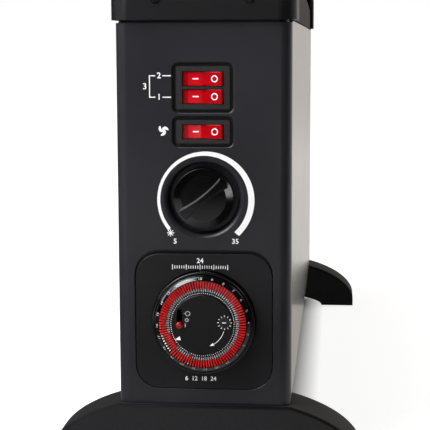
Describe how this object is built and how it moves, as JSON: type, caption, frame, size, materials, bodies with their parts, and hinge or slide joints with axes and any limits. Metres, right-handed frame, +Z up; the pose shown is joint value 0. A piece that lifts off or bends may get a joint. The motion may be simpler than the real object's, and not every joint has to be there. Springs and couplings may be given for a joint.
{
  "type": "convector heater",
  "caption": "Free-standing electric convector heater with arched feet, rocker switches, a thermostat knob, a 24-hour tappet timer and a turbo fan.",
  "frame": {"origin": "on the floor at the centre of the bounding box", "axes": "+Z up, X along the heater with the control end at -X, front faces -Y"},
  "size_m": [0.5466, 0.186, 0.311],
  "materials": {
    "moulding": "satin, fine spark-eroded grain",
    "painted_steel": "smooth semi-gloss powder coat",
    "gloss_black": "gloss",
    "bezel_black": "satin",
    "rocker_red": "gloss",
    "tappet_red": "satin",
    "galvanised": "zinc coated",
    "aluminium": "mill finish",
    "ceramic": "unglazed ceramic",
    "screw_black": "black zinc",
    "bakelite": "moulded phenolic",
    "motor_steel": "lacquered laminations and winding",
    "fan_nylon": "natural nylon"
  },
  "bodies": {
    "casing": {"front_panel": "painted_steel", "back_panel": "painted_steel", "control_end_panel": "moulding", "far_end_panel": "moulding", "bottom_plate": "galvanised", "top_grille": "painted_steel", "control_top_cap": "moulding", "far_top_cap": "moulding", "control_foot": "moulding", "far_foot": "moulding", "cap_screw_1": "screw_black", "cap_screw_2": "screw_black", "cap_screw_3": "screw_black", "cap_screw_4": "screw_black", "foot_screw_1": "screw_black", "foot_screw_2": "screw_black", "foot_screw_3": "screw_black", "foot_screw_4": "screw_black", "double_switch_housing": "bezel_black", "fan_switch_housing": "bezel_black", "thermostat_body": "bakelite", "thermostat_nut": "galvanised", "timer_faceplate": "moulding", "timer_case": "gloss_black", "timer_centre_disc": "bezel_black", "timer_motor": "galvanised", "control_partition": "galvanised", "far_bracket": "galvanised", "high_heat_element": "aluminium", "low_heat_element": "aluminium", "element_insulator_1": "ceramic", "element_insulator_2": "ceramic", "element_insulator_3": "ceramic", "element_insulator_4": "ceramic", "thermal_cutout": "bakelite", "fan_shroud": "fan_nylon", "fan_motor": "motor_steel", "terminal_block": "fan_nylon", "cord_gland": "bezel_black"},
    "high_heat_rocker": {"high_heat_rocker": "rocker_red"},
    "low_heat_rocker": {"low_heat_rocker": "rocker_red"},
    "fan_rocker": {"fan_rocker": "rocker_red"},
    "thermostat_knob": {"thermostat_knob": "gloss_black", "thermostat_shaft": "galvanised"},
    "timer_dial": {"timer_dial": "gloss_black", "timer_tappets": "tappet_red"},
    "minute_hand": {"minute_hand": "bezel_black"},
    "override_slider": {"override_slider": "rocker_red"},
    "fan_impeller": {"fan_impeller": "fan_nylon", "fan_shaft": "galvanised"}
  },
  "joints": [
    {"name": "high_heat_rocker_tilt", "type": "hinge", "parent": "casing", "child": "high_heat_rocker", "pos_m": [-0.25545, 0, 0.2304], "axis": [0, 0, 1], "range_deg": [0, 12]},
    {"name": "low_heat_rocker_tilt", "type": "hinge", "parent": "casing", "child": "low_heat_rocker", "pos_m": [-0.25545, 0, 0.2202], "axis": [0, 0, 1], "range_deg": [0, 12]},
    {"name": "fan_rocker_tilt", "type": "hinge", "parent": "casing", "child": "fan_rocker", "pos_m": [-0.25545, 0, 0.2], "axis": [0, 0, 1], "range_deg": [0, 12]},
    {"name": "thermostat_turn", "type": "hinge", "parent": "casing", "child": "thermostat_knob", "pos_m": [-0.26075, 0, 0.161], "axis": [1, 0, 0], "range_deg": [0, 270]},
    {"name": "timer_dial_turn", "type": "hinge", "parent": "casing", "child": "timer_dial", "pos_m": [-0.26075, 0, 0.0885], "axis": [1, 0, 0], "continuous": true},
    {"name": "minute_hand_turn", "type": "hinge", "parent": "casing", "child": "minute_hand", "pos_m": [-0.26075, -0.013, 0.0901], "axis": [1, 0, 0], "continuous": true},
    {"name": "override_slide", "type": "slide", "parent": "casing", "child": "override_slider", "axis": [0, 0, 1], "range_m": [0, 0.0075]},
    {"name": "fan_spin", "type": "hinge", "parent": "casing", "child": "fan_impeller", "pos_m": [0.00425, 0, 0.05], "axis": [0, 0, 1], "continuous": true}
  ],
  "couplings": [
    {"joint": "minute_hand_turn", "follows": "timer_dial_turn", "ratio": 24}
  ]
}
